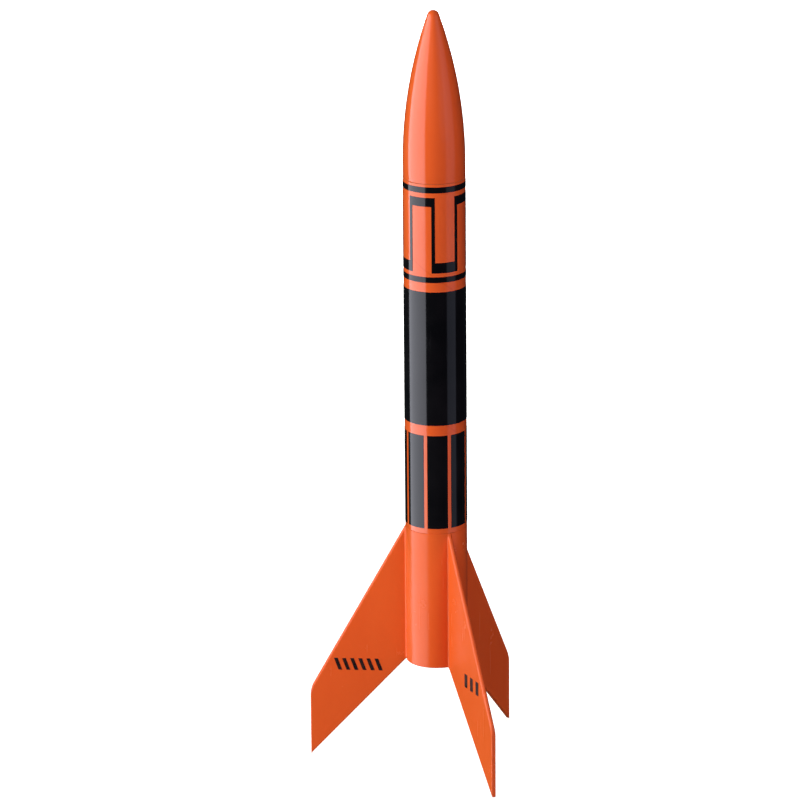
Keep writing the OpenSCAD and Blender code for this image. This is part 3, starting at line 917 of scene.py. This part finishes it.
def ribbon_section():
    """Outline of flat elastic, with five ribs on each face."""
    half_w, half_t, count = CORD_W / 2, CORD_T / 2, 21
    upper = []
    for k in range(count):
        s = -1 + 2 * k / (count - 1)
        rib = 0.86 + 0.14 * math.cos(5 * math.pi * s)
        upper.append((half_w * s, half_t * rib * (1 - abs(s) ** 9) ** 0.5))
    lower = [(x, -y) for x, y in upper[-2:0:-1]]
    return upper + lower


def add_uv(obj, rings, around, length):
    """Lays UVs on a swept piece: U round its section and V along it, in metres."""
    layer = obj.data.uv_layers.new(name="along")
    for polygon in obj.data.polygons:
        for loop in polygon.loop_indices:
            vertex = obj.data.loops[loop].vertex_index
            ring, k = divmod(vertex, around)
            u = k / around
            if polygon.index % around == around - 1 and k == 0 and len(polygon.vertices) == 4:
                u = 1.0
            layer.data[loop].uv = (u, length * ring / (rings - 1))


def make_shock_cord():
    """The elastic: flat on the wall and in its coils, and up through the middle to its knot under the nose
    cone.
    """
    line = cord_path()
    sides = []
    for i, point in enumerate(line):
        ahead = (line[min(i + 1, len(line) - 1)] - line[max(i - 1, 0)]).normalized()
        out = Vector((point.x, point.y, 0))
        sides.append(ahead.cross(out.normalized()) if out.length > 4 * MM else sides[-1])
    section = ribbon_section()
    obj = mesh_object("shock_cord", *swept(line, sides, section))
    add_uv(obj, len(line), len(section), CORD_LENGTH)
    obj.data.materials.append(ELASTIC)
    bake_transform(obj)
    finish_piece(obj, None, ELASTIC, "elastic", "shock_cord_lead", "shock_cord_coil", "shock_cord_end")


def canopy_top(r):
    """Height of the folded canopy's forward end at radius r: the outer layers lie lower."""
    share = min(1.0, max(0.0, (CHUTE_HIGH.x - r) / (6.4 * MM)))
    return CHUTE_HIGH.z - 13 * MM * (1 - share) ** 2.6 - 0.2 * MM


def canopy_foot(r):
    """Height of its aft end at radius r: the outer layers lie higher."""
    share = min(1.0, max(0.0, (CHUTE_HIGH.x - r) / (3.4 * MM)))
    return CHUTE_LOW.z + 6 * MM * (1 - share) ** 3 + 0.2 * MM


def make_parachute():
    """The canopy, rolled up: one sheet wound from the middle outwards, pressed in by its lines."""
    inner, outer, turns, per_turn, rows = 1.1 * MM, CHUTE_HIGH.x - 0.18 * MM, 30, 48, 30
    columns = turns * per_turn
    verts = []
    for i in range(rows + 1):
        v = i / rows
        for j in range(columns + 1):
            t = j / columns
            angle = TAU * turns * t
            r = inner + (outer - inner) * t
            low, high = canopy_foot(r), canopy_top(r)
            ragged = 0.5 * MM * noise.noise(Vector((angle * 0.35, 4.0, 0)))
            ragged += 0.35 * MM * math.sin(angle * 3.1)
            z = low + (high - low) * v + ragged * (2 * v - 1) * abs(2 * v - 1) ** 3
            z = min(max(z, CHUTE_LOW.z + 0.02 * MM), CHUTE_HIGH.z - 0.02 * MM)
            place = Vector((math.cos(angle) * 1.6, math.sin(angle) * 1.6, z * 70))
            crush = 0.42 * MM * (noise.noise(place) - 0.35) * t
            lobes = 0.16 * MM * math.cos(3 * angle + z * 60) * t
            wound = (z - WRAP_LOW.z) / (WRAP_HIGH.z - WRAP_LOW.z)
            pinch = 0.105 * MM * max(0.0, math.sin(wound * math.pi)) * t
            radius = min(r + crush + lobes - 0.22 * MM * t - pinch, outer)
            verts.append((radius * math.cos(angle), radius * math.sin(angle), z))
    obj = mesh_object("canopy", verts, grid_faces(rows + 1, columns + 1), 60)
    layer = obj.data.uv_layers.new(name="cloth")
    for loop in obj.data.loops:
        i, j = divmod(loop.vertex_index, columns + 1)
        layer.data[loop.index].uv = (j / columns, i / rows)
    finish_piece(obj, "recovery", CANOPY, "canopy_film", "parachute")


def make_shroud_line(k):
    """One line: from its tape disc, wound round the canopy, over its shoulder and up to the eye."""
    start_angle = 360 * k / LINES
    wound_r = -WRAP_LOW.x - LINE_D / 2 - 0.12 * MM
    low, high, steps = DISC_LOW.z + 2.4 * MM, WRAP_HIGH.z + 0.4 * MM, LINE_TURNS * 60
    line = []
    for i in range(steps + 1):
        t = i / steps
        drift = 1.1 * MM * noise.noise(Vector((t * 5, k * 2.7, 0))) * math.sin(math.pi * t)
        angle = start_angle + 360 * LINE_TURNS * t
        line.append(polar(wound_r, angle, low + (high - low) * t + drift))
    end = start_angle + 360 * LINE_TURNS
    line += curve_through([
        line[-1], *[polar(r * MM, end + on, WRAP_HIGH.z + up * MM) for r, on, up in LINE_CLIMB],
        polar(0.55 * MM, end, WRAP_HIGH.z + 30 * MM) + LINE_KNOT.xy.to_3d() * 0.5,
        polar(0.3 * MM, end, 0) + LINE_KNOT,
    ], 8)[1:]
    section = circle_section(LINE_D / 2, 8)
    obj = mesh_object(f"shroud_line_{k + 1}", *swept(line, [Vector((0.3, 0.2, 1))] * len(line), section))
    add_uv(obj, len(line), len(section), LINE_LENGTH)
    finish_piece(obj, "recovery", THREAD, "thread", "shroud_line_wrap", "shroud_line_tails")


def make_knot(name, centre, size, section, loop_x, loop_r, material, slot):
    """A pulled-tight overhand knot under the plug's eye, and its loop of radius loop_r over the
    eye's wire at loop_x."""
    tied, steps = [], 96
    for k in range(steps + 1):
        t = TAU * k / steps
        tied.append(centre + size * Vector((
            math.sin(t) + 2 * math.sin(2 * t), math.cos(t) - 2 * math.cos(2 * t), -1.3 * math.sin(3 * t),
        )))
    wire_z = EYE_Z - math.sqrt(EYE_R ** 2 - loop_x ** 2)
    arch = []
    for a in np.linspace(-0.5, math.pi + 0.5, 17):
        arch.append(Vector((loop_x, loop_r * math.cos(a), wire_z + loop_r * math.sin(a))))
    loop = curve_through([centre, *arch, centre], 4)
    pieces = [(tied, Vector((0.2, 0.3, 1))), (loop, Vector((1, 0, 0)))]
    obj = joined(name, [swept(line, [side] * len(line), section) for line, side in pieces])
    rings = len(obj.data.vertices) // len(section)
    add_uv(obj, rings, len(section), rings * 0.3 * MM)
    return finish_piece(obj, "nose", material, slot)


# ---------------------------------------------------------------- studio

def area_light(name, place, target, size, watts, color):
    """A soft lamp at place, turned to target, that no reflection shows."""
    data = bpy.data.lights.new(name, "AREA")
    data.shape = "RECTANGLE"
    data.size, data.size_y = size
    data.energy = watts
    data.color = color
    light = bpy.data.objects.new(name, data)
    bpy.context.scene.collection.objects.link(light)
    light.location = place
    light.rotation_mode = "QUATERNION"
    light.rotation_quaternion = (Vector(target) - Vector(place)).to_track_quat("-Z", "Y")
    light.visible_glossy = False


def glow(name, strengths, tint):
    """A material that shines from one strength to the other along U."""
    material = bpy.data.materials.new(name)
    material.use_nodes = True
    tree = material.node_tree
    tree.nodes.clear()
    across = tree.nodes.new("ShaderNodeTexCoord")
    split = tree.nodes.new("ShaderNodeSeparateXYZ")
    fade = tree.nodes.new("ShaderNodeMapRange")
    fade.inputs["To Min"].default_value, fade.inputs["To Max"].default_value = strengths
    shine = tree.nodes.new("ShaderNodeEmission")
    shine.inputs[0].default_value = (*tint, 1)
    out = tree.nodes.new("ShaderNodeOutputMaterial")
    tree.links.new(across.outputs["UV"], split.inputs[0])
    tree.links.new(split.outputs[0], fade.inputs["Value"])
    tree.links.new(fade.outputs[0], shine.inputs[1])
    tree.links.new(shine.outputs[0], out.inputs[0])
    return material


def glow_card(name, azimuth, distance, width, strengths, tint=(1, 1, 1)):
    """A tall bright card that only reflections see: a softbox, stronger towards one side."""
    low, high = Vector((0, 0, -1.4)), Vector((0, 0, 0.9))
    centre = polar(distance, azimuth, 0)
    along = Vector((-centre.y, centre.x, 0)).normalized() * width / 2
    corners = [centre - along + low, centre + along + low, centre + along + high, centre - along + high]
    card = mesh_object(name, corners, [[0, 1, 2, 3]])
    layer = card.data.uv_layers.new(name="across")
    for loop, u in zip(layer.data, (0, 1, 1, 0)):
        loop.uv = (u, 0)
    card.data.materials.append(glow(name, strengths, tint))
    card.visible_camera = False
    card.visible_diffuse = False
    card.visible_shadow = False
    card.visible_transmission = False


def make_floor():
    """A wide square at the fin tips, which neither lights the rocket nor shows in its reflections."""
    half, z = 6.0, CAD_LOW.z
    corners = [(-half, -half, z), (half, -half, z), (half, half, z), (-half, half, z)]
    floor = mesh_object("floor", corners, [[0, 1, 2, 3]])
    floor.data.materials.append(pale_floor())
    floor.visible_glossy = False
    floor.visible_diffuse = False


def make_world():
    """White to the camera, soft light to the object, and dark in its reflections."""
    world = bpy.data.worlds.new("studio")
    bpy.context.scene.world = world
    world.use_nodes = True
    tree = world.node_tree
    tree.nodes.clear()
    path = tree.nodes.new("ShaderNodeLightPath")
    out = tree.nodes.new("ShaderNodeOutputWorld")
    seen, soft, dark = (tree.nodes.new("ShaderNodeBackground") for _ in range(3))
    seen.inputs[0].default_value = (1, 1, 1, 1)
    soft.inputs[0].default_value = (1, 0.98, 0.96, 1)
    soft.inputs[1].default_value = 0.01
    dark.inputs[0].default_value = (0.01, 0.012, 0.016, 1)
    first, second = tree.nodes.new("ShaderNodeMixShader"), tree.nodes.new("ShaderNodeMixShader")
    tree.links.new(path.outputs["Is Glossy Ray"], first.inputs[0])
    tree.links.new(soft.outputs[0], first.inputs[1])
    tree.links.new(dark.outputs[0], first.inputs[2])
    tree.links.new(path.outputs["Is Camera Ray"], second.inputs[0])
    tree.links.new(first.outputs[0], second.inputs[1])
    tree.links.new(seen.outputs[0], second.inputs[2])
    tree.links.new(second.outputs[0], out.inputs[0])


def make_studio():
    """Four soft lamps round the rocket, three cards for its reflections, the floor and the world."""
    middle = (0, 0, 0.1)
    area_light("key", polar(1.5, 169, 0.6), middle, (0.8, 0.8), 23, (1, 1.06, 0.86))
    area_light("front", polar(1.8, -135, 0.8), middle, (1.0, 1.0), 11.5, (1, 0.88, 0.9))
    area_light("fill", polar(1.6, -75, 0.5), middle, (1.0, 1.0), 11, (1, 0.76, 0.84))
    area_light("back", polar(1.7, 62, 0.8), middle, (0.9, 0.9), 30, (1, 1, 1))
    glow_card("card_left", 173.3, 1.2, 1.83, (3.1, 2.0), (0.98, 1, 1.12))
    glow_card("card_right", -53, 1.4, 0.92, (0.3, 0.32), (0.92, 1, 1.3))
    glow_card("card_back", 64.4, 1.4, 0.4, (1.4, 1.0))
    make_floor()
    make_world()
    view = bpy.context.scene.view_settings
    view.view_transform = "Standard"
    view.look = "None"
    view.exposure = 0
    view.gamma = 1


# ---------------------------------------------------------------- build

make_camera()
make_shock_cord()
for index in range(LINES):
    make_shroud_line(index)
make_knot(
    "cord_knot", CORD_KNOT, 0.6 * MM, oval_section(1.0 * MM, 0.45 * MM), -0.8 * MM, 1.55 * MM,
    ELASTIC, "elastic",
)
make_knot(
    "line_knot", LINE_KNOT, 0.32 * MM, oval_section(0.3 * MM, 0.3 * MM), 1.3 * MM, 1.3 * MM,
    THREAD, "thread",
)
make_parachute()
make_cord_mount()
make_nose_cone()
make_base_plug()
make_body_tube()
make_fin_unit()
make_launch_lug()
make_hook()

for node in (
    "forward_ring_decal", "meander_decal", "aft_ring_decal", "wide_band_decal", "striped_band_decal",
    "hook_keeper_ring",
):
    dress_cad_node(node, FILM)
for node in ("fin_emblem_decal", "fin_tally_decal"):
    dress_cad_node(node, INK)
for node in ("thrust_ring", "forward_centring_ring", "aft_centring_ring"):
    dress_cad_node(node, CARD)
dress_cad_node("motor_tube", KRAFT)
dress_cad_node("line_tape_discs", TAPE)

make_studio()
